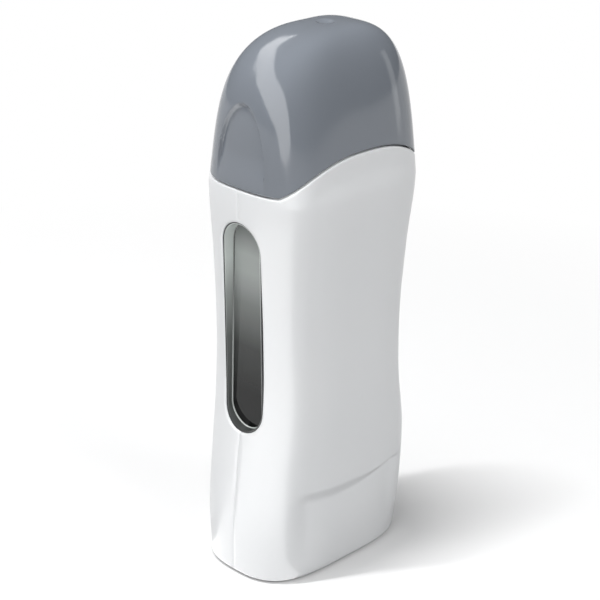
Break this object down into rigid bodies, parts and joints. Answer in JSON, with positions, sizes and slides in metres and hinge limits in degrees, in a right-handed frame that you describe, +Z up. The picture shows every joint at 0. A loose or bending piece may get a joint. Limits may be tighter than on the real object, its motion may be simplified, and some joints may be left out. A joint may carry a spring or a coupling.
{
  "type": "roll-on wax heater",
  "caption": "Hand-held warmer for a roll-on wax cartridge: waisted white housing with a long side window, heated well and a lift-off grey cap.",
  "frame": {"origin": "middle of the base, on the surface the heater stands on", "axes": "+Z up along the body, -X out of the narrow side with the window, -Y out of the broad side seen in the picture"},
  "size_m": [0.0695, 0.0472, 0.1849],
  "materials": {
    "cap_plastic": "smooth gloss, blue-grey",
    "shell_plastic": "smooth gloss, white",
    "collar_plastic": "fine matt, light grey",
    "lens_plastic": "clear polished plastic",
    "seal_rubber": "matt black",
    "silicone": "matt, brick red",
    "aluminium": "extruded, satin",
    "cradle_plastic": "matt black, heat resistant",
    "insulator_film": "amber film",
    "heater_plate": "pressed, dull",
    "spring_steel": "brushed",
    "fuse_case": "plated",
    "sleeve_fibre": "woven glass fibre",
    "block_plastic": "matt ivory",
    "brass": "turned",
    "steel": "zinc plated",
    "inlet_plastic": "matt black",
    "pin_metal": "nickel plated",
    "lead_jacket": "smooth sleeve",
    "supply_jacket": "smooth sleeve",
    "resistor_body": "lacquered",
    "lamp_glass": "clear glass",
    "indicator_red": "clear red",
    "foot_rubber": "matt dark grey"
  },
  "bodies": {
    "housing": {"near_shell": "shell_plastic", "far_shell": "shell_plastic", "collar": "collar_plastic", "window_lens": "lens_plastic", "window_seal": "seal_rubber", "mouth_seal": "silicone", "chamber_tube": "aluminium", "chamber_floor": "aluminium", "chamber_cradle": "cradle_plastic", "near_insulator": "insulator_film", "near_heater": "heater_plate", "near_spring": "spring_steel", "far_insulator": "insulator_film", "far_heater": "heater_plate", "far_spring": "spring_steel", "thermal_fuse": "fuse_case", "fuse_sleeve": "sleeve_fibre", "terminal_block": "block_plastic", "terminal_tubes": "brass", "terminal_screws": "steel", "block_screws": "steel", "power_inlet": "inlet_plastic", "inlet_pins": "pin_metal", "supply_leads": "supply_jacket", "fuse_leads": "lead_jacket", "near_heater_leads": "lead_jacket", "far_heater_leads": "lead_jacket", "lamp_leads": "lead_jacket", "lamp_resistor": "resistor_body", "indicator_lamp": "lamp_glass", "indicator_lens": "indicator_red", "housing_screws": "steel", "feet": "foot_rubber"},
    "cap": {"cap": "cap_plastic"}
  },
  "joints": [
    {"name": "cap_lift", "type": "slide", "parent": "housing", "child": "cap", "axis": [0, 0, 1], "range_m": [0, 0.045]}
  ]
}
